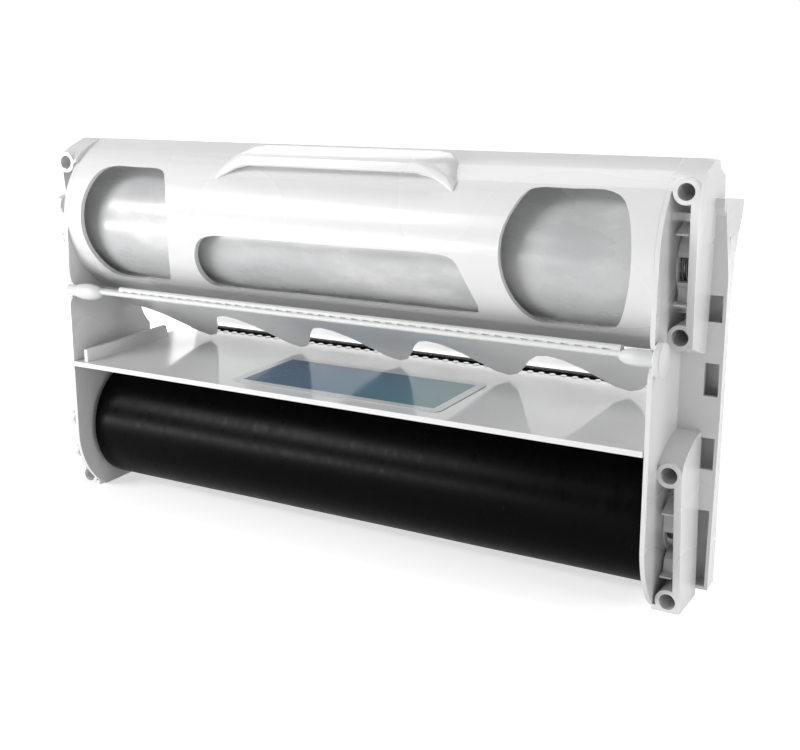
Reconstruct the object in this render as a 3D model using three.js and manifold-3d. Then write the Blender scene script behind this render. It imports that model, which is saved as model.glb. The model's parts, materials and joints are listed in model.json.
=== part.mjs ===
// Drop-in film and magnet cartridge of a desk-top cold roll laminator.
//
// Millimetres. +X runs along the rolls, +Y from the feed side to the exit side, +Z up.
// The parts are laid out with y = 0 on the front edge of the side plates and z = 0 on the
// bench. The finished group is moved so that the origin is the bottom centre of its box.

import * as THREE from 'three';
import { mergeVertices } from 'three/addons/utils/BufferGeometryUtils.js';
import Module from 'manifold-3d';

const wasm = await Module();
wasm.setup();

// ---------------------------------------------------------------- driving dimensions

const INNER = 116;                 // half the clear width between the two side plates
const PLATE = 1.5;                 // thickness of a side plate
const HOUSING_OUT = 125.3;         // outer face of the hub housings, from the middle
const FLANGE_OUT = 130.7;          // outer edge of the side flange, from the middle
const WALL = 2.3;                  // wall of a hub housing
const GAP = 0.3;                   // clearance between separate pieces
const SLIVER = 0.006;              // edges shorter than this are closed up in a finished solid
const OUTER = INNER + PLATE;       // outer face of a side plate

const UPPER = { y: 31, z: 109.5 }; // axis of the film roll
const LOWER = { y: 31, z: 26 };    // axis of the magnet roll
const FILM_R = 23.3;
const MAGNET_R = 23.9;
const ROLL_HALF = 113.8;           // half the length of a roll
const CORE_R = 14;
const CORE_BORE = 12.2;

const TRAY_TOP = 56;
const TRAY_THICK = 1.9;
const TRAY_BACK = 71.2;

const COVER = { y: 30.5, z: 112.8, r: 29.4, wall: 2 }; // centre and radius of the curved cover
const CREASE = 63;                 // degrees up the cover where the flat top begins
const LIP = -50;                   // degrees down the cover where its straight skirt begins

const FLANGE_Y = 28.5;             // front face of the flange
const FLANGE_THICK = 1.6;
const CHANNEL_BACK = 36.4;         // back face of the channel behind the flange
const PLATE_BACK = 48;

const PIVOT = { y: 2.2, z: 84.5 }; // hinge line of the guide comb
const PIN_R = 2.3;
const TOOTH_PITCH = 45.84;
const TOOTH_TIP = 58.4;            // how far back the comb's teeth reach
const TOOTH_ROOT = 37;
const TICK_PITCH = 4.45;           // serrations on the comb's ledge and the tray's back edge

const NIP = { y: 75, z: 56.1 };      // line where the two webs meet behind the tray
const EXIT_Y = 80;                 // where the joined webs end
const WEB_HALF = 112;

const BOSS_R = 4;
const BOSS_HOLE = 2.65;
const BOSS_X = 121.3;
const BARREL_R = 12.4;             // hub barrel, turning in the hole of the side plate

// ---------------------------------------------------------------- solid helpers

const rad = THREE.MathUtils.degToRad;

function toSolid(geometry) {
  const bare = new THREE.BufferGeometry();
  bare.setAttribute('position', geometry.getAttribute('position'));
  if (geometry.index) bare.setIndex(geometry.index);
  const merged = mergeVertices(bare, 1e-4);
  return new wasm.Manifold(new wasm.Mesh({
    numProp: 3,
    vertProperties: new Float32Array(merged.getAttribute('position').array),
    triVerts: new Uint32Array(merged.index.array),
  }));
}

function toGeometry(solid) {
  const mesh = solid.asOriginal().simplify(SLIVER).getMesh();
  const geometry = new THREE.BufferGeometry();
  geometry.setAttribute('position', new THREE.BufferAttribute(mesh.vertProperties, 3));
  geometry.setIndex(new THREE.BufferAttribute(mesh.triVerts, 1));
  geometry.computeVertexNormals();
  return geometry;
}

const join = (...solids) => solids.flat().reduce((a, b) => a.add(b));
const cut = (body, ...tools) => tools.flat().reduce((a, b) => a.subtract(b), body);

function block(x0, x1, y0, y1, z0, z1) {
  const g = new THREE.BoxGeometry(x1 - x0, y1 - y0, z1 - z0);
  return toSolid(g.translate((x0 + x1) / 2, (y0 + y1) / 2, (z0 + z1) / 2));
}

function extrude(points, depth) {
  const shape = new THREE.Shape(points.map(([a, b]) => new THREE.Vector2(a, b)));
  return new THREE.ExtrudeGeometry(shape, { depth, bevelEnabled: false, steps: 1 });
}

// A (y, z) outline drawn out along X.
function prismX(points, x0, x1) {
  const turn = new THREE.Matrix4().set(0, 0, 1, x0, 1, 0, 0, 0, 0, 1, 0, 0, 0, 0, 0, 1);
  return toSolid(extrude(points, x1 - x0).applyMatrix4(turn));
}

// An (x, z) outline drawn out along Y.
function prismY(points, y0, y1) {
  const turn = new THREE.Matrix4().set(1, 0, 0, 0, 0, 0, -1, y1, 0, 1, 0, 0, 0, 0, 0, 1);
  return toSolid(extrude(points, y1 - y0).applyMatrix4(turn));
}

// An (x, y) outline drawn out along Z.
const prismZ = (points, z0, z1) => toSolid(extrude(points, z1 - z0).translate(0, 0, z0));

// A turned body about a line along X. Its outline is a list of [radius, x].
function turnedX(outline, axis, segments = 28) {
  const points = outline.map(([r, x]) => new THREE.Vector2(r, x));
  const g = new THREE.LatheGeometry(points, segments).rotateZ(-Math.PI / 2);
  return toSolid(g.translate(0, axis.y, axis.z));
}

const rodX = (r, x0, x1, axis, segments = 36) =>
  turnedX([[0, x1], [r, x1], [r, x0], [0, x0]].reverse(), axis, segments);

const tubeX = (r, bore, x0, x1, axis, segments = 36) =>
  turnedX([[bore, x0], [r, x0], [r, x1], [bore, x1], [bore, x0]], axis, segments);

function rodY(r, x, z, y0, y1, segments = 20) {
  const g = new THREE.CylinderGeometry(r, r, y1 - y0, segments);
  return toSolid(g.translate(x, (y0 + y1) / 2, z));
}

// Points of an arc in a plane, from one angle to another in degrees.
function arc(cx, cy, r, from, to, steps) {
  return Array.from({ length: steps + 1 }, (_, i) => {
    const a = rad(from + ((to - from) * i) / steps);
    return [cx + r * Math.cos(a), cy + r * Math.sin(a)];
  });
}

// A point of a smooth closed outline through a few given points.
function smooth(points, steps) {
  const curve = new THREE.CatmullRomCurve3(
    points.map(([a, b]) => new THREE.Vector3(a, b, 0)), true, 'centripetal');
  return curve.getPoints(steps).slice(0, -1).map((p) => [p.x, p.y]);
}

const mirrored = (points) => points.map(([x, z]) => [-x, z]).reverse();
const mirrorX = (solid) => solid.mirror([1, 0, 0]);

// A point on the cover's round, at an angle in degrees above the level of its centre.
function onCover(angle, inset = 0) {
  const r = COVER.r - inset;
  return [COVER.y - r * Math.cos(rad(angle)), COVER.z + r * Math.sin(rad(angle))];
}

const coverArc = (from, to, steps, inset = 0) =>
  Array.from({ length: steps + 1 }, (_, i) => onCover(from + ((to - from) * i) / steps, inset));

// ---------------------------------------------------------------- side frames

// Front edge of the upper housing, leaning forward as it rises.
const upperFront = (z) => 12.8 - (z - 88) * 0.092;
const lowerFront = (z) => 11.3 - z * 0.055;
const LEAN = 0.018;                // outward lean of the housings, away from the middle height

const CHEEK_TOP = [
  [8.4, 131.5], [8.9, 135], [11.9, 137.6], [15.8, 139.6], [24.4, 142.5],
  [28.9, 141.5], [29.9, 139.3], [36.1, 136.6], [37.8, 129.2],
];
const SHOULDER = [
  [8.7, 45.5], [9.2, 47.7], [10.6, 49.8], [12.8, 51.6], [15.8, 53], [21.9, 55.2], [FLANGE_Y, 56],
];

const UPPER_BOSSES = [134, 89.3];
const LOWER_BOSSES = [46.4, 3.6];

// Shears a housing outward along X as it runs away from one height.
function lean(solid, from, slope) {
  return solid.transform([1, 0, 0, 0, 0, 1, 0, 0, slope, 0, 1, 0, -slope * from, 0, 0, 1]);
}

function sidePlate() {
  const outline = [
    [PLATE_BACK, 0],
    ...arc(LOWER.y, LOWER.z, 31, 237, 180, 12),
    [-0.3, 60], [-0.3, 78.6], [0.2, 80.2], [1.6, PIVOT.z - PIN_R - GAP],
    ...arc(PIVOT.y, PIVOT.z, PIN_R + GAP, -90, 90, 12),
    [1.8, PIVOT.z + PIN_R + 0.5], [0.8, 89.4], [0.5, 92], [0.6, 107],
    ...coverArc(-4, CREASE, 18), [24.4, 142.5], [28.9, 141.5], [29.9, 139.3],
    [36.1, 136.6], [37.8, 129.2], [PLATE_BACK - 4, 129.2], [PLATE_BACK, 125],
  ];
  const body = prismX(outline, INNER, OUTER);
  const nipRecess = rodX(18, INNER - 1, OUTER + 1, { y: 60, z: 76 });
  const thinPanel = block(INNER - 1, INNER + 0.6, FLANGE_Y, PLATE_BACK + 1, 57, 83.5);
  return cut(body, nipRecess, thinPanel);
}

function bosses(levels, front) {
  return levels.map((z) => rodY(BOSS_R, BOSS_X, z, front(z) + 0.07, FLANGE_Y + 0.4));
}

function bossHoles(levels, front) {
  return levels.map((z) => rodY(BOSS_HOLE, BOSS_X, z, front(z) - 4, front(z) + 13));
}

function upperHousing() {
  const back = FLANGE_Y + 0.5;
  const bottom = [[12.8, 86.2], [back, 81]];
  const [topBoss, lowBoss] = UPPER_BOSSES;
  const wall = prismX(
    [...CHEEK_TOP, [30, 129.2], [back, 128], bottom[1], bottom[0], [upperFront(90), 90]],
    HOUSING_OUT - WALL, HOUSING_OUT);
  const solidTop = [...CHEEK_TOP.slice(1, 6), [28.9, topBoss], [upperFront(topBoss), topBoss]];
  const hood = [[28, 141.6], ...CHEEK_TOP.slice(5), [35.2, 129.2], [33.8, 135], [28, 138]];
  const floor = [...bottom, [back, lowBoss], [upperFront(lowBoss), lowBoss]];
  const fills = [solidTop, hood, floor].map((points) =>
    prismX(points, INNER + 0.2, HOUSING_OUT - 0.2));
  return lean(join(wall, fills, bosses(UPPER_BOSSES, upperFront)), 88, LEAN);
}

function lowerHousing() {
  const wall = prismX(
    [[lowerFront(0), 0], ...SHOULDER, [FLANGE_Y + 0.5, 56], [FLANGE_Y + 0.5, 0]],
    HOUSING_OUT - WALL, HOUSING_OUT);
  const roof = prismX([...SHOULDER, [FLANGE_Y, 46.4]], INNER + 0.2, HOUSING_OUT - 0.2);
  const floor = block(INNER + 0.2, HOUSING_OUT - 0.2, lowerFront(0), FLANGE_Y + 0.5, 0, 1.8);
  const body = join(wall, roof, floor, bosses(LOWER_BOSSES, lowerFront));
  return lean(body, 50, -LEAN).trimByPlane([0, 0, 1], 0);
}

const FLANGE_EDGE = [
  [130, 2.5], [FLANGE_OUT, 60], [FLANGE_OUT, 106], [128.9, 127], [128.8, 130.4],
];
const SLOTS = [[91.7, 100.2], [67.8, 78.5], [43.6, 54.1], [3.6, 29.8]]; // heights, from the top
const SLOT_IN = 125.15;
const SLOT_OUT = 129.65;

function flange() {
  const back = FLANGE_Y + FLANGE_THICK;
  const web = prismY([[OUTER - 0.2, 2.5], ...FLANGE_EDGE, [OUTER - 0.2, 130.4]], FLANGE_Y, back);
  const slots = SLOTS.map(([z0, z1]) => block(SLOT_IN, SLOT_OUT, FLANGE_Y - 1, back + 1, z0, z1));
  const windows = [UPPER, LOWER].map((a) =>
    block(OUTER, HOUSING_OUT - WALL, FLANGE_Y - 3, CHANNEL_BACK + 1, a.z - 15.7, a.z + 15.7));
  return { web: cut(web, slots), windows };
}

// The rail turns back from the flange's edge and widens towards its top.
function rail() {
  const side = [
    [FLANGE_Y, 2.5], [32, 2.5], [32.4, 60], [33.2, 90], [33.7, 102], [35.2, 107.4], [38.2, 112.6],
    [43.4, 118.6], [48.6, 124.4], [49.5, 126.6], [49, 127.9], [FLANGE_Y, 130.4],
  ];
  const inner = FLANGE_EDGE.map(([x, z]) => [x - 1.05, z]).reverse();
  return prismX(side, 120, 135).intersect(prismY([...FLANGE_EDGE, ...inner], 20, 50));
}

// A second skin behind the flange makes the latch slots blind pockets. Its lower end is open.
function channel() {
  const back = prismY([[OUTER - 0.2, 2.5], [129.9, 2.5], [129.9, 118], [OUTER - 0.2, 118]],
    CHANNEL_BACK - 1.4, CHANNEL_BACK);
  const side = block(129, 129.9, 31.6, CHANNEL_BACK - 0.2, 2.6, 118);
  const foot = block(OUTER - 0.2, 129.8, FLANGE_Y + 1, CHANNEL_BACK - 0.2, 2.5, 3.5);
  return join(back, side, foot);
}

function flangeCap() {
  return prismX(
    [[26.6, 127.4], [26.6, 130.4], [30, 130.4], [30, 124.9], [FLANGE_Y, 124.9]],
    OUTER - 0.2, 128.8);
}

function sideFrame() {
  const { web, windows } = flange();
  const shell = join(
    sidePlate(), upperHousing(), lowerHousing(), web, rail(), flangeCap(), channel());
  const hubHoles = [UPPER, LOWER].map((a) => rodX(BARREL_R + 0.5, INNER - 1, OUTER + 1, a));
  return cut(shell, windows, hubHoles, lean(join(bossHoles(UPPER_BOSSES, upperFront)), 88, LEAN),
    lean(join(bossHoles(LOWER_BOSSES, lowerFront)), 50, -LEAN));
}

// Four small barbed catches that stand forward from the housing walls of the left frame only.
function catches() {
  const lug = (z, h, front) => prismX(
    [[front + 1.2, z], [front, z + 0.4 * h], [front + 1, z + 0.8 * h], [front + 4, z + h],
      [front + 8, z + h], [front + 8, z]], HOUSING_OUT - WALL, HOUSING_OUT);
  return [lug(114.2, 7.2, 5), lug(100.6, 6, 5.6), lug(26.6, 6.4, 4.8), lug(12.6, 5.8, 6)];
}

// ---------------------------------------------------------------- cover

const END_WINDOW = [
  [72.6, 132], [76.2, 133.2], [87, 133.3], [98.6, 133.3], [104.2, 131], [107.6, 124.5],
  [109, 115], [108.4, 106], [105.6, 96.5], [102, 91], [98, 89.8], [87, 89.7], [77, 89.7],
  [73, 91.6], [69.2, 98], [66.6, 108], [66.6, 118], [69, 126],
];
const MIDDLE_SLOT = [
  [-45, 111], [-20, 111], [0, 111], [20, 111], [45, 111], [50.4, 109.6], [53.2, 105], [55.6, 98],
  [56.4, 93.4], [54.8, 90.6], [50, 89.9], [20, 89.9], [-20, 89.9], [-50, 89.9], [-54.8, 91.2],
  [-56.2, 96], [-55.4, 103], [-52, 109],
];

function coverShell() {
  const outer = [[20.6, 82.8], ...coverArc(LIP, CREASE, 28), [24.4, 142.5], [29.4, 141.4]];
  const inner = [
    [29.2, 139.2], [24.4, 140.3], ...coverArc(CREASE, LIP, 22, COVER.wall), [21.9, 84.35]];
  return prismX([...outer, ...inner], -INNER + 0.05, INNER - 0.05);
}

// Gripping ledge: a level brim whose ends turn down the cover and taper to a point.
function gripLedge() {
  const brimSection = [
    [7.6, 136], [6.4, 136.6], [6.2, 139.4], [7, 140.5], [12, 141.3], [22.6, 142.2], [22.8, 139.6],
    [15, 137.4],
  ];
  const station = (side, x, section) =>
    prismX(section, side > 0 ? x - 0.4 : -x - 0.4, side > 0 ? x + 0.4 : -x + 0.4);
  const end = (side) => {
    const elbow = station(side, 34, brimSection);
    const knee = station(side, 39.6, [
      [8.2, 134.6], [7.4, 135.2], [7.6, 137.8], [8.8, 139.2], [21, 141.6], [21, 138], [16, 136]]);
    const calf = station(side, 44.2, [
      [8.4, 132.4], [7.6, 133], [8, 135.2], [9.4, 136.4], [17, 139.2], [15, 136]]);
    const toe = station(side, 47.2, [
      [7.6, 130.4], [6.9, 131], [7.4, 132.2], [8.8, 133.6], [10.4, 133.6], [9.6, 131]]);
    const hulls = [[elbow, knee], [knee, calf], [calf, toe]].map((pair) => wasm.Manifold.hull(pair));
    return join(hulls);
  };
  const inside = prismX([...coverArc(LIP, 90, 20, 1), [50, 142], [50, 80]], -60, 60);
  return cut(join(prismX(brimSection, -34, 34), end(1), end(-1)), inside);
}

function rollCover() {
  const tools = [END_WINDOW, mirrored(END_WINDOW), MIDDLE_SLOT].map((points) =>
    prismY(smooth(points, 44), -6, 26));
  return join(cut(coverShell(), tools), gripLedge());
}

// ---------------------------------------------------------------- feed tray and comb

function feedTray() {
  const half = INNER - GAP;
  const floor = block(-half, half, -0.4, TRAY_BACK, TRAY_TOP - TRAY_THICK, TRAY_TOP);
  const fence = prismX(
    [[1.2, TRAY_TOP - 1], [52.6, TRAY_TOP - 1], [50.5, 61.3], [1.2, 61]], -111.6, -110);
  const count = Math.floor((half - 2) / TICK_PITCH);
  const teeth = Array.from({ length: 2 * count + 1 }, (_, i) => {
    const g = new THREE.CylinderGeometry(1.2, 1.2, TRAY_THICK + 0.5, 6).rotateX(Math.PI / 2);
    return toSolid(g.translate((i - count) * TICK_PITCH, TRAY_BACK, TRAY_TOP - TRAY_THICK / 2));
  });
  return join(floor, fence, teeth);
}

function trayLabel() {
  const [x, y0, y1, r] = [43.3, 6, 46.6, 3];
  const outline = [
    ...arc(x - r, y0 + r, r, -90, 0, 6), ...arc(x - r, y1 - r, r, 0, 90, 6),
    ...arc(-x + r, y1 - r, r, 90, 180, 6), ...arc(-x + r, y0 + r, r, 180, 270, 6),
  ];
  return prismZ(outline, TRAY_TOP + 0.05, TRAY_TOP + 0.3);
}

// The comb's sheet arches from the bar at the front down to its tooth tips on the tray.
function combSheet() {
  const [y0, z0, y1, z1, rise, thick] = [3.4, 84.6, TOOTH_TIP + 1, TRAY_TOP + 0.5, 4.6, 1.5];
  const steps = 8;
  const line = (lift) => Array.from({ length: steps + 1 }, (_, i) => {
    const t = i / steps;
    return [y0 + (y1 - y0) * t, z0 + (z1 - z0) * t + 4 * rise * t * (1 - t) + lift];
  });
  const section = [...line(0), ...line(thick).reverse()];
  const half = INNER - 1;
  const edge = Array.from({ length: 51 }, (_, i) => {
    const x = -half + (2 * half * i) / 50;
    const wave = (1 + Math.cos((2 * Math.PI * x) / TOOTH_PITCH)) / 2;
    return [x, TOOTH_ROOT + (TOOTH_TIP - TOOTH_ROOT) * wave];
  });
  const plan = [[-half, 0], ...edge, [half, 0]].reverse();
  return prismX(section, -half, half).intersect(prismZ(plan, 40, 100));
}

const LEDGE = [-92.4, 106.6];      // ends of the serrated ledge along the bar

function combBar() {
  const bar = prismX([
    ...arc(2.2, 85, 1, 90, 270, 8), ...arc(4.4, 84.8, 0.9, -90, 90, 6),
  ], -104, 109);
  const ledge = prismX(
    [[2, 85.4], [2, 87.1], [2.5, 87.6], [3.6, 87.5], [5.6, 86.9], [5.6, 85.6], [4.6, 84.8]],
    ...LEDGE);
  const count = Math.floor((LEDGE[1] - LEDGE[0] - 2) / TICK_PITCH);
  const ticks = Array.from({ length: count }, (_, i) => {
    const x = LEDGE[0] + 2 + i * TICK_PITCH;
    return block(x, x + 0.58 * TICK_PITCH, 1.6, 2.6, 85.95, 86.3);
  });
  return cut(join(bar, ledge), ticks);
}

// One end of the bar: a bulb, the pin through the side plate and, on the right, a round head.
function combEnd(headed) {
  const bulb = headed
    ? [[0, 106.4], [1.1, 106.4], [2, 107.6], [2.55, 109.6], [2.7, 112], [2.6, 115.4]]
    : [[0, 101.2], [1.1, 101.2], [2.1, 102.6], [2.8, 104.6], [3.15, 107.6], [3.1, 110.4],
      [2.7, 112.8], [PIN_R, 114.2]];
  const disc = [
    [PIN_R, OUTER + 0.5], [5.4, OUTER + 0.5], [5.7, OUTER + 0.9], [5.7, OUTER + 2.3],
    [5.3, OUTER + 2.7], [0, OUTER + 2.9],
  ];
  const stub = [[PIN_R, OUTER + 0.8], [PIN_R - 0.4, OUTER + 1.2], [0, OUTER + 1.2]];
  return turnedX([...bulb, ...(headed ? disc : stub)], PIVOT, 28);
}

function guideComb() {
  return join(combSheet(), combBar(), combEnd(true), mirrorX(combEnd(false)));
}

// ---------------------------------------------------------------- rolls, cores and webs

const roll = (r, axis) => tubeX(r, CORE_R + 0.1, -ROLL_HALF, ROLL_HALF, axis, 56);
const core = (axis) => tubeX(CORE_R, CORE_BORE, -ROLL_HALF - 0.3, ROLL_HALF + 0.3, axis, 32);

// A thin web leaves the back of its roll, runs to the nip line and on to the exit. The film
// comes from above the line (side = 1) and the magnet sheet from below it (side = -1).
function web(axis, r, thick, side) {
  const roll = new THREE.Vector2(axis.y, axis.z);
  const nip = new THREE.Vector2(NIP.y, NIP.z + side * 0.15);
  const run = nip.clone().sub(roll);
  const reach = r + 0.2;
  const lean = Math.atan2(run.y, run.x) + side * Math.acos(reach / run.length());
  const out = new THREE.Vector2(Math.cos(lean), Math.sin(lean));
  const inside = roll.clone().addScaledVector(out, reach);
  const outside = inside.clone().addScaledVector(out, thick);
  return prismX([
    [inside.x, inside.y], [nip.x, nip.y], [EXIT_Y, nip.y], [EXIT_Y, nip.y + side * thick],
    [nip.x + 0.3 * thick, nip.y + side * thick], [outside.x, outside.y],
  ], -WEB_HALF, WEB_HALF);
}

// ---------------------------------------------------------------- hubs and brake springs

// The hub plugs the core and snaps into the plate's hole. Two fingers reach past the plate,
// set above or below the axis by the lift.
function hub(axis, lift) {
  const plug = turnedX([
    [0, 101], [11.9, 101], [11.9, ROLL_HALF + 0.6], [17, ROLL_HALF + 0.6], [17, INNER - 0.5],
    [BARREL_R, INNER - 0.5], [BARREL_R, 118], [10.2, 118], [10.2, INNER - 0.4], [0, INNER - 0.4],
  ], axis);
  const sleeve = tubeX(BARREL_R + 0.6, 10.6, 117.8, 122.2, axis, 32);
  const level = axis.z + lift;
  const keep = (z0, z1) => block(110, 125, axis.y - 20, axis.y + 4, level + z0, level + z1);
  const barb = (points) =>
    prismX(points.map(([y, z]) => [axis.y + y, level + z]), 118.2, 122);
  const upper = join(sleeve.intersect(keep(3, 10.3)),
    barb([[-17, 10.2], [-7, 9.2], [-2.6, 9.2], [-2.6, 12.8], [-10, 13.4], [-17, 10.8]]));
  const lower = join(sleeve.intersect(keep(-11.2, -4.8)),
    barb([[-16, -10.9], [-12.4, -10.8], [-11.8, -6.4], [-9.6, -4.9], [-5.4, -5.1],
      [-3.4, -10.6], [-3.4, -11.6], [-16, -11.5]]));
  const springRoom = rodX(9.4, 117.9, 125, axis);
  return join(plug, cut(join(upper, lower), springRoom));
}

class Coil extends THREE.Curve {
  constructor(radius, x0, x1, turns, axis) {
    super();
    Object.assign(this, { radius, x0, x1, turns, axis });
  }

  getPoint(t, target = new THREE.Vector3()) {
    const a = 2 * Math.PI * this.turns * t;
    return target.set(this.x0 + (this.x1 - this.x0) * t,
      this.axis.y + this.radius * Math.cos(a), this.axis.z + this.radius * Math.sin(a));
  }
}

function brakeSpring(axis) {
  const wire = new THREE.Shape(arc(0, 0, 0.6, 0, 270, 3).map(([a, b]) => new THREE.Vector2(a, b)));
  const extrudePath = new Coil(8, INNER + 0.6, 122.1, 3.5, axis);
  return toSolid(new THREE.ExtrudeGeometry(wire, { steps: 36, bevelEnabled: false, extrudePath }));
}

// ---------------------------------------------------------------- assembly

const FINISH = {
  housing_white: { color: 0xeeeeef, roughness: 0.32 },
  comb_white: { color: 0xe4e5e6, roughness: 0.35 },
  core_card: { color: 0xb9a482, roughness: 0.85 },
  clear_film: { color: 0xd4d7d9, roughness: 0.18 },
  magnet_black: { color: 0x0b0b0c, roughness: 0.6 },
  label_blue: { color: 0x3a6c8f, roughness: 0.4 },
  hub_plastic: { color: 0xf0f0ef, roughness: 0.35 },
  spring_steel: { color: 0x8c8f93, roughness: 0.3, metalness: 0.9 },
};

const cartridge = new THREE.Group();
cartridge.name = 'laminator_cartridge';

function place(name, solid, finish) {
  const mesh = new THREE.Mesh(toGeometry(solid), new THREE.MeshStandardMaterial(FINISH[finish]));
  mesh.name = name;
  cartridge.add(mesh);
}

const frame = sideFrame();
place('side_frame_right', frame, 'housing_white');
place('side_frame_left', join(mirrorX(frame), catches().map(mirrorX)), 'housing_white');
place('roll_cover', rollCover(), 'housing_white');
place('feed_tray', feedTray(), 'housing_white');
place('tray_label', trayLabel(), 'label_blue');
place('guide_comb', guideComb(), 'comb_white');
place('upper_core', core(UPPER), 'core_card');
place('lower_core', core(LOWER), 'core_card');
place('film_roll', roll(FILM_R, UPPER), 'clear_film');
place('magnet_roll', roll(MAGNET_R, LOWER), 'magnet_black');
place('film_web', web(UPPER, FILM_R, 0.5, 1), 'clear_film');
place('magnet_web', web(LOWER, MAGNET_R, 0.8, -1), 'magnet_black');
for (const [level, axis, lift] of [['upper', UPPER, 0.5], ['lower', LOWER, -4.8]]) {
  for (const [side, turn] of [['right', (s) => s], ['left', mirrorX]]) {
    place(`${level}_hub_${side}`, turn(hub(axis, lift)), 'hub_plastic');
    place(`${level}_spring_${side}`, turn(brakeSpring(axis)), 'spring_steel');
  }
}

const bounds = new THREE.Box3().setFromObject(cartridge);
const middle = bounds.getCenter(new THREE.Vector3());
for (const mesh of cartridge.children) {
  mesh.geometry.translate(-middle.x, -middle.y, -bounds.min.z);
}

export default cartridge;
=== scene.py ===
import json
import math

import bmesh
import bpy
from mathutils import Matrix, Vector


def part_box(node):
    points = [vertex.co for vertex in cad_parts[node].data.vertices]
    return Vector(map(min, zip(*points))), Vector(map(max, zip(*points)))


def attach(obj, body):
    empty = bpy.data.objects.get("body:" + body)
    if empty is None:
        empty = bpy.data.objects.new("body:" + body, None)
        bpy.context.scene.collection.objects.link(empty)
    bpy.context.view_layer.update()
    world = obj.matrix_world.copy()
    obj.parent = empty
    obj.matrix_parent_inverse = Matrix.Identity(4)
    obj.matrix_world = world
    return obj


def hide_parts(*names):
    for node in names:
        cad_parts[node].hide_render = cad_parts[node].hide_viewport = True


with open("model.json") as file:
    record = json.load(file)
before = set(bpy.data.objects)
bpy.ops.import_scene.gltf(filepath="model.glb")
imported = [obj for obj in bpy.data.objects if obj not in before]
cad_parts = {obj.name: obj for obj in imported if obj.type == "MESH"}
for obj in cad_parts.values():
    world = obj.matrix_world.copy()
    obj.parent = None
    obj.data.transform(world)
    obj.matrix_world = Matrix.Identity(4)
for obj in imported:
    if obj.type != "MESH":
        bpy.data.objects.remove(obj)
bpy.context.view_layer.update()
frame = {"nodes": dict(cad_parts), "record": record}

SCENE = bpy.context.scene
NODES = frame["nodes"]
BODIES = frame["record"]["behaviour"]["bodies"]
BODY_OF = {node: body for body, members in BODIES.items() for node in members}

MM = 0.001
LABEL_MARGIN = 3.3 * MM            # clear border around the label's print
JOINED_LENGTH = 5 * MM             # where the two webs lie on each other, at the film web's end
FILM_ALPHA = 0.42                  # of the film web where it hangs free
JOINED_ALPHA = 0.03                # of the film web on the magnet sheet

# ---------------------------------------------------------------- camera

CAMERA_AT = Vector((0.22579, -0.39289, 0.17752))
HEADING, PITCH, ROLL = math.radians(-32.39), math.radians(-13.64), math.radians(-0.95)
SENSOR_MM, LENS_MM = 36, 56.01
SHIFT = (0.0987, -0.036)
CLIP = (0.01, 20)


def add_camera():
    data = bpy.data.cameras.new("camera")
    camera = bpy.data.objects.new("camera", data)
    SCENE.collection.objects.link(camera)
    forward = Vector((math.sin(HEADING) * math.cos(PITCH),
                      math.cos(HEADING) * math.cos(PITCH),
                      math.sin(PITCH)))
    level = Vector((math.cos(HEADING), -math.sin(HEADING), 0))
    upright = level.cross(forward)
    right = level * math.cos(ROLL) + upright * math.sin(ROLL)
    up = upright * math.cos(ROLL) - level * math.sin(ROLL)
    axes = Matrix((right, up, -forward)).transposed()
    camera.matrix_world = Matrix.Translation(CAMERA_AT) @ axes.to_4x4()
    data.sensor_width, data.lens = SENSOR_MM, LENS_MM
    data.shift_x, data.shift_y = SHIFT
    data.clip_start, data.clip_end = CLIP
    SCENE.camera = camera


add_camera()

# ---------------------------------------------------------------- node materials


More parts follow.
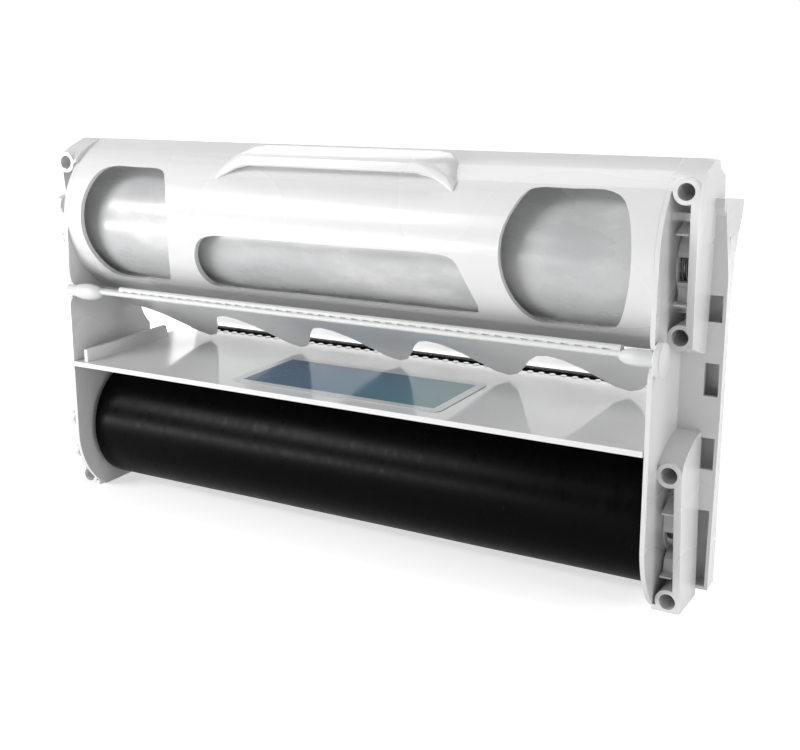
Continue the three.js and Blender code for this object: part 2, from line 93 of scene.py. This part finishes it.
class Nodes:
    """A short way to write a material's node tree."""

    def __init__(self, name):
        self.material = bpy.data.materials.new(name)
        self.material.use_nodes = True
        self.tree = self.material.node_tree
        self.shader = self.tree.nodes["Principled BSDF"]

    def add(self, kind, **values):
        """A new node. Each value sets an attribute, or the input socket of that name."""
        node = self.tree.nodes.new(kind)
        for key, value in values.items():
            if hasattr(node, key):
                setattr(node, key, value)
            else:
                node.inputs[key.replace("_", " ")].default_value = value
        return node

    def link(self, a, b):
        self.tree.links.new(a, b)

    def set(self, **values):
        """Constants on the shader's own sockets."""
        for key, value in values.items():
            self.shader.inputs[key.replace("_", " ")].default_value = value

    def coords(self, scale=(1, 1, 1)):
        """Object coordinates in metres."""
        place = self.add("ShaderNodeTexCoord")
        stretch = self.add("ShaderNodeMapping")
        stretch.inputs["Scale"].default_value = scale
        self.link(place.outputs["Object"], stretch.inputs["Vector"])
        return stretch.outputs["Vector"]

    def noise(self, scale, detail=3.0, stretch=(1, 1, 1), roughness=0.5):
        noise = self.add("ShaderNodeTexNoise")
        noise.inputs["Scale"].default_value = scale
        noise.inputs["Detail"].default_value = detail
        noise.inputs["Roughness"].default_value = roughness
        self.link(self.coords(stretch), noise.inputs["Vector"])
        return noise.outputs["Fac"]

    def ramp(self, factor, stops):
        """stops: (position, colour) in rising order."""
        ramp = self.add("ShaderNodeValToRGB")
        elements = ramp.color_ramp.elements
        while len(elements) < len(stops):
            elements.new(0.5)
        for element, (at, colour) in zip(elements, stops):
            element.position = at
            element.color = (*colour, 1)
        self.link(factor, ramp.inputs["Fac"])
        return ramp.outputs["Color"]

    def spread(self, factor, low, high, start=0.3, end=0.7):
        """Goes from low to high while the factor goes from start to end, and stays there."""
        span = self.add("ShaderNodeMapRange", From_Min=start, From_Max=end,
                        To_Min=low, To_Max=high)
        self.link(factor, span.inputs["Value"])
        return span.outputs["Result"]

    def bump(self, *layers):
        """layers: (height, strength, distance in metres), the coarsest first."""
        normal = None
        for height, strength, distance in layers:
            bump = self.add("ShaderNodeBump")
            bump.inputs["Strength"].default_value = strength
            bump.inputs["Distance"].default_value = distance
            self.link(height, bump.inputs["Height"])
            if normal is not None:
                self.link(normal, bump.inputs["Normal"])
            normal = bump.outputs["Normal"]
        self.link(normal, self.shader.inputs["Normal"])

    def base(self, colour):
        self.link(colour, self.shader.inputs["Base Color"])

    def rough(self, value):
        self.link(value, self.shader.inputs["Roughness"])


def grey(value, warm=0.0):
    """A grey with a little more red and less blue for warm above zero."""
    return (value * (1 + warm), value, value * (1 - warm))


def moulded_plastic(name, light, dark, roughness, coat=0.0):
    """Smooth moulded plastic: cloudy tone, slight waviness, fine orange peel, uneven gloss."""
    n = Nodes(name)
    cloud = n.noise(18, detail=0)
    n.base(n.ramp(cloud, [(0.0, dark), (1.0, light)]))
    n.rough(n.spread(cloud, roughness * 0.9, roughness * 1.1, 0.0, 1.0))
    waviness, orange_peel = n.noise(45, detail=1), n.noise(700, detail=1)
    n.bump((waviness, 0.06, 0.12 * MM), (orange_peel, 0.03, 0.01 * MM))
    n.set(IOR=1.49, Coat_Weight=coat, Coat_Roughness=0.08)
    return n.material


def film_material(name):
    """Tightly wound clear film: pale grey, glossy, with cloudy patches where the wraps touch."""
    n = Nodes(name)
    patches = n.noise(34, detail=5, stretch=(0.55, 1, 1), roughness=0.6)
    n.base(n.ramp(patches, [(0.34, grey(0.44, -0.012)), (0.55, grey(0.53, -0.008)),
                            (0.68, grey(0.68))]))
    n.rough(n.spread(patches, 0.2, 0.4))
    dents = n.noise(55, detail=3, stretch=(0.5, 1, 1))
    wraps = n.noise(20, detail=3, stretch=(30, 1, 1))
    n.bump((dents, 0.3, 0.5 * MM), (wraps, 0.15, 0.08 * MM))
    n.set(IOR=1.5, Coat_Weight=0.45, Coat_Roughness=0.2)
    return n.material


def clear_sheet_material(name):
    """Clear film: cloudy where it hangs free, clear where it lies on the magnet sheet."""
    n = Nodes(name)
    n.base(n.ramp(n.noise(60), [(0.3, grey(0.74)), (0.7, grey(0.86))]))
    n.rough(n.spread(n.noise(160, detail=4), 0.08, 0.2))
    n.bump((n.noise(90, detail=2), 0.1, 0.2 * MM))
    axes = n.add("ShaderNodeSeparateXYZ")
    n.link(n.coords(), axes.inputs["Vector"])
    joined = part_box("film_web")[1].y - JOINED_LENGTH
    n.link(n.spread(axes.outputs["Y"], FILM_ALPHA, JOINED_ALPHA, joined - 1 * MM, joined),
           n.shader.inputs["Alpha"])
    n.set(IOR=1.45)
    return n.material


def magnet_material(name, tone, sheen):
    """Flexible magnet sheet: near-black tone, with a faint fibrous grain around the roll."""
    n = Nodes(name)
    fibres = n.noise(420, detail=4, stretch=(1, 0.22, 0.22))
    smears = n.noise(30, detail=3, stretch=(1, 0.5, 0.5))
    n.base(n.ramp(smears, [(0.3, grey(tone)), (0.7, grey(2.2 * tone))]))
    n.rough(n.spread(fibres, 0.26, 0.36))
    n.bump((smears, 0.15, 0.6 * MM), (fibres, 0.35, 0.06 * MM))
    n.set(IOR=1.45, Specular_IOR_Level=sheen)
    return n.material


def card_material(name):
    """Brown card of the cores, with a fine fibre."""
    n = Nodes(name)
    fibre = n.noise(700, detail=5, stretch=(0.3, 1, 1))
    n.base(n.ramp(fibre, [(0.3, (0.33, 0.24, 0.15)), (0.7, (0.46, 0.36, 0.25))]))
    n.rough(n.spread(fibre, 0.75, 0.95))
    n.bump((fibre, 0.3, 0.1 * MM))
    return n.material


def steel_material(name):
    """Drawn spring wire with fine streaks."""
    n = Nodes(name)
    streaks = n.noise(900, detail=3, stretch=(4, 0.4, 0.4))
    n.base(n.ramp(streaks, [(0.3, grey(0.34)), (0.7, grey(0.48))]))
    n.rough(n.spread(streaks, 0.22, 0.4))
    n.bump((streaks, 0.1, 0.03 * MM))
    n.set(Metallic=1.0)
    return n.material


def label_material(name):
    """Printed sticker: blue fading to grey green along X inside a clear margin."""
    n = Nodes(name)
    low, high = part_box("tray_label")
    axes = n.add("ShaderNodeSeparateXYZ")
    n.link(n.coords(), axes.inputs["Vector"])
    along = n.spread(axes.outputs["X"], 0, 1, low.x, high.x)
    shade = n.add("ShaderNodeMath", operation="MULTIPLY_ADD")
    n.link(n.noise(14, detail=0), shade.inputs[0])
    shade.inputs[1].default_value = 0.1
    n.link(along, shade.inputs[2])
    fade = n.ramp(shade.outputs[0], [(0.1, (0.012, 0.075, 0.17)), (0.5, (0.035, 0.14, 0.24)),
                                     (0.78, (0.06, 0.19, 0.26)), (1.0, (0.115, 0.24, 0.25))])

    def inset(socket, a, b):
        """1 within the clear margin of the edges at a and b, 0 between the margins."""
        middle, half = (a + b) / 2, (b - a) / 2
        off = n.add("ShaderNodeMath", operation="SUBTRACT")
        n.link(socket, off.inputs[0])
        off.inputs[1].default_value = middle
        size = n.add("ShaderNodeMath", operation="ABSOLUTE")
        n.link(off.outputs[0], size.inputs[0])
        inner = half - LABEL_MARGIN
        return n.spread(size.outputs[0], 0, 1, inner - 0.1 * MM, inner)

    margin = n.add("ShaderNodeMath", operation="MAXIMUM")
    n.link(inset(axes.outputs["X"], low.x, high.x), margin.inputs[0])
    n.link(inset(axes.outputs["Y"], low.y, high.y), margin.inputs[1])
    paint = n.add("ShaderNodeMix", data_type="RGBA")
    n.link(margin.outputs[0], paint.inputs["Factor"])
    n.link(fade, paint.inputs["A"])
    paint.inputs["B"].default_value = (0.66, 0.665, 0.67, 1)
    n.base(paint.outputs["Result"])
    n.rough(n.spread(n.noise(90, detail=2), 0.1, 0.16))
    n.bump((n.noise(60, detail=1), 0.05, 0.05 * MM))
    n.set(IOR=1.5, Specular_IOR_Level=0.3)
    return n.material


MATERIAL = {
    "housing_white": moulded_plastic("housing_white", grey(0.735), grey(0.715), 0.27, 0.2),
    "comb_white": moulded_plastic("comb_white", grey(0.69, -0.004), grey(0.66, -0.004), 0.34),
    "core_card": card_material("core_card"),
    "clear_film": film_material("clear_film"),
    "magnet_black": magnet_material("magnet_black", 0.0004, 0.07),
    "label_blue": label_material("label_blue"),
    "hub_plastic": moulded_plastic("hub_plastic", grey(0.86), grey(0.83), 0.36),
    "spring_steel": steel_material("spring_steel"),
}
# Variants: the tray is glossier than the frame, and the unwound webs differ from their rolls.
TRAY_GLOSS = moulded_plastic("tray_gloss", grey(0.78), grey(0.765), 0.09, 0.3)
CLEAR_SHEET = clear_sheet_material("clear_sheet")
MAGNET_WEB = magnet_material("magnet_back", 0.0035, 0.0)

SLOT_OF = {
    "side_frame": "housing_white", "roll_cover": "housing_white", "feed_tray": "housing_white",
    "tray_label": "label_blue", "guide_comb": "comb_white", "upper_core": "core_card",
    "lower_core": "core_card", "film": "clear_film", "magnet": "magnet_black",
    "upper_hub": "hub_plastic", "lower_hub": "hub_plastic", "upper_spring": "spring_steel",
    "lower_spring": "spring_steel",
}


def slot_of(node):
    """The material slot of a CAD node, by the start of its name."""
    return next(slot for start, slot in SLOT_OF.items() if node.startswith(start))


def dress(node, material=None):
    """A better material on a CAD node that stays as it is."""
    for place in NODES[node].material_slots:
        place.material = material or MATERIAL[slot_of(node)]


def new_piece(name, mesh, node, material=None):
    """An object that stands for a CAD node and moves with its body."""
    piece = bpy.data.objects.new(name, mesh)
    SCENE.collection.objects.link(piece)
    mesh.materials.clear()
    mesh.materials.append(material or MATERIAL[slot_of(node)])
    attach(piece, BODY_OF[node])
    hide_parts(node)
    return piece


WELD = 0.002 * MM                  # vertices closer than this are one
FLAT_ANGLE = math.radians(0.6)     # faces that differ by less are merged


def refined(node, name, width, segments=2, sharp=28, material=None):
    """A copy of a CAD node with rounded edges and smooth curved faces."""
    work = bmesh.new()
    work.from_mesh(NODES[node].data)
    bmesh.ops.remove_doubles(work, verts=work.verts, dist=WELD)
    bmesh.ops.dissolve_limit(work, angle_limit=FLAT_ANGLE, verts=work.verts,
                             edges=work.edges, delimit={"NORMAL"})
    mesh = bpy.data.meshes.new(name)
    work.to_mesh(mesh)
    work.free()
    piece = new_piece(name, mesh, node, material)
    bevel = piece.modifiers.new("edges", "BEVEL")
    bevel.width, bevel.segments = width, segments
    bevel.limit_method, bevel.angle_limit = "ANGLE", math.radians(sharp)
    bevel.harden_normals = True
    bevel.use_clamp_overlap = True
    for face in mesh.polygons:
        face.use_smooth = True
    mesh.set_sharp_from_angle(angle=math.radians(sharp))
    return piece


def circle_of(node):
    """The axis (y, z) and outer radius of a turned CAD node."""
    low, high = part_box(node)
    return (low.y + high.y) / 2, (low.z + high.z) / 2, (high.z - low.z) / 2


AROUND, ALONG = 144, 72            # divisions of a roll's outer wrap
RIM = 0.4 * MM                     # softened edge of a roll
WRAP_STEPS = 14                    # rings seen on a roll's end
HIGH_WRAP, LOW_WRAP = 0.12 * MM, 0.3 * MM    # how far the end's rings lie inside the rim


def roll_outline(bore, radius, half):
    """The closed section of a wound roll, as (radius, x) points."""
    end = [(bore, -half + LOW_WRAP)]
    for i in range(1, WRAP_STEPS):
        recess = HIGH_WRAP if i % 2 else LOW_WRAP
        end.append((bore + (radius - RIM - bore) * i / WRAP_STEPS, -half + recess))
    end += [(radius - RIM, -half), (radius - HIGH_WRAP, -half + HIGH_WRAP)]
    wrap = [(radius, -half + RIM + (2 * half - 2 * RIM) * i / ALONG) for i in range(ALONG + 1)]
    return end + wrap + [(r, -x) for r, x in reversed(end)]


def wound_roll(node, core, name, ripple):
    """A wound roll: slightly uneven outer wrap, softened rims and stepped wraps on its ends."""
    y0, z0, radius = circle_of(node)
    bore = circle_of(core)[2] + 0.1 * MM
    low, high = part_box(node)
    outline = roll_outline(bore, radius, (high.x - low.x) / 2)
    work = bmesh.new()
    rings = []
    for i in range(AROUND):
        a = 2 * math.pi * i / AROUND
        ring = []
        for r, x in outline:
            reach = r - ripple(x, a) if r == radius else r
            ring.append(work.verts.new((x, y0 + reach * math.cos(a), z0 + reach * math.sin(a))))
        rings.append(ring)
    count = len(outline)
    for i in range(AROUND):
        a, b = rings[i], rings[(i + 1) % AROUND]
        for k in range(count):
            work.faces.new((a[k], a[(k + 1) % count], b[(k + 1) % count], b[k]))
    bmesh.ops.recalc_face_normals(work, faces=work.faces)
    mesh = bpy.data.meshes.new(name)
    work.to_mesh(mesh)
    work.free()
    for face in mesh.polygons:
        face.use_smooth = True
    mesh.set_sharp_from_angle(angle=math.radians(40))
    return new_piece(name, mesh, node)


def film_ripple(x, a):
    """How far the film's outer wrap lies inside the roll's radius, at x along and a around."""
    wave = math.sin(70 * x + 1.3) * math.cos(3 * a + 0.4) + 0.6 * math.sin(131 * x + 5 * a)
    return (0.12 + 0.06 * wave) * MM


def magnet_ripple(x, a):
    """The same for the stiffer magnet sheet."""
    return (0.08 + 0.04 * math.sin(38 * x + 2 * a) + 0.03 * math.sin(97 * x - 3 * a)) * MM


WIRE_R = 0.6 * MM
TURNS, PER_TURN = 4, 26            # turns of a brake spring, and points in each


def brake_spring(node, name):
    """A round-wire spring on the line of its hub."""
    low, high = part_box(node)
    y0, z0, outer = circle_of(node)
    reach = outer - WIRE_R * 1.05
    curve = bpy.data.curves.new(name, "CURVE")
    curve.dimensions = "3D"
    curve.bevel_depth, curve.bevel_resolution, curve.use_fill_caps = WIRE_R, 3, True
    line = curve.splines.new("POLY")
    line.points.add(TURNS * PER_TURN)
    for i, point in enumerate(line.points):
        t = i / (TURNS * PER_TURN)
        a = 2 * math.pi * TURNS * t
        x = low.x + WIRE_R + (high.x - low.x - 2 * WIRE_R) * t
        point.co = (x, y0 + reach * math.cos(a), z0 + reach * math.sin(a), 1)
    return new_piece(name, curve, node)


refined("side_frame_right", "frame_right_shell", 0.35 * MM)
refined("side_frame_left", "frame_left_shell", 0.35 * MM)
refined("roll_cover", "cover_shell", 0.5 * MM, 3, 30)
refined("feed_tray", "tray_shell", 0.3 * MM, 2, 30, TRAY_GLOSS)
refined("guide_comb", "comb_shell", 0.25 * MM, 2, 35)

wound_roll("film_roll", "upper_core", "film_wraps", film_ripple)
wound_roll("magnet_roll", "lower_core", "magnet_wraps", magnet_ripple)
for level in ("upper", "lower"):
    for side in ("right", "left"):
        brake_spring(f"{level}_spring_{side}", f"{level}_coil_{side}")
        refined(f"{level}_hub_{side}", f"{level}_hub_{side}_shell", 0.2 * MM)

for node in NODES:
    if not NODES[node].hide_render:
        dress(node)
dress("film_web", CLEAR_SHEET)
dress("magnet_web", MAGNET_WEB)

# ---------------------------------------------------------------- floor and lights


FLOOR_HALF = 6.0
GLOW_NEAR, GLOW_FAR = 0.38, 0.8    # extra light of the floor below the object and around it
GLOW_START, GLOW_END = 0.14, 0.36  # metres from the object's middle
FLOOR_FILL = 0.2                   # light that the floor gives the object


def add_floor():
    """A pale paper floor, lit so that it fades to white away from the object."""
    mesh = bpy.data.meshes.new("floor")
    h = FLOOR_HALF
    mesh.from_pydata([(-h, -h, 0), (h, -h, 0), (h, h, 0), (-h, h, 0)], [], [(0, 1, 2, 3)])
    floor = bpy.data.objects.new("floor", mesh)
    SCENE.collection.objects.link(floor)
    n = Nodes("floor_paper")
    n.base(n.ramp(n.noise(3), [(0.3, grey(0.8)), (0.7, grey(0.82))]))
    n.set(Roughness=0.9, Emission_Color=(1, 1, 1, 1))
    distance = n.add("ShaderNodeVectorMath", operation="LENGTH")
    n.link(n.coords(), distance.inputs[0])
    glow = n.spread(distance.outputs["Value"], GLOW_NEAR, GLOW_FAR, GLOW_START, GLOW_END)
    lit = n.add("ShaderNodeMath", operation="MULTIPLY_ADD")
    n.link(glow, lit.inputs[0])
    n.link(n.add("ShaderNodeLightPath").outputs["Is Camera Ray"], lit.inputs[1])
    lit.inputs[2].default_value = FLOOR_FILL
    n.link(lit.outputs[0], n.shader.inputs["Emission Strength"])
    mesh.materials.append(n.material)


def area_light(name, at, aim, size, power):
    """A soft box at a point, turned towards another."""
    data = bpy.data.lights.new(name, "AREA")
    data.shape, data.size, data.size_y = "RECTANGLE", size[0], size[1]
    data.energy = power
    light = bpy.data.objects.new(name, data)
    SCENE.collection.objects.link(light)
    light.location = at
    light.rotation_euler = (Vector(aim) - Vector(at)).to_track_quat("-Z", "Y").to_euler()


def add_world(strength):
    """White surroundings of this strength, seen by the camera at full strength."""
    world = bpy.data.worlds.new("studio")
    world.use_nodes = True
    tree = world.node_tree
    background = tree.nodes["Background"]
    background.inputs["Color"].default_value = (1, 1, 1, 1)
    seen = tree.nodes.new("ShaderNodeLightPath")
    mix = tree.nodes.new("ShaderNodeMix")
    mix.inputs["A"].default_value = strength
    mix.inputs["B"].default_value = 1.0
    tree.links.new(seen.outputs["Is Camera Ray"], mix.inputs["Factor"])
    tree.links.new(mix.outputs["Result"], background.inputs["Strength"])
    SCENE.world = world


add_floor()
add_world(0.25)
MIDDLE = (0, 0, 0.07)
area_light("key", (-0.5, -0.62, 0.5), MIDDLE, (0.36, 0.2), 3.7)
area_light("low", (-0.55, -0.75, 0.06), MIDDLE, (0.5, 0.1), 3.4)
area_light("side", (0.85, -0.1, 0.3), MIDDLE, (0.4, 0.4), 1.75)
area_light("top", (0.0, 0.2, 0.95), MIDDLE, (0.8, 0.5), 3.3)
area_light("back", (-0.15, 0.75, 0.3), MIDDLE, (1.0, 0.5), 3.0)
area_light("rim", (0.62, 0.58, 0.26), (-0.1, 0, 0.07), (0.3, 0.3), 2.0)
SCENE.view_settings.view_transform = "Standard"
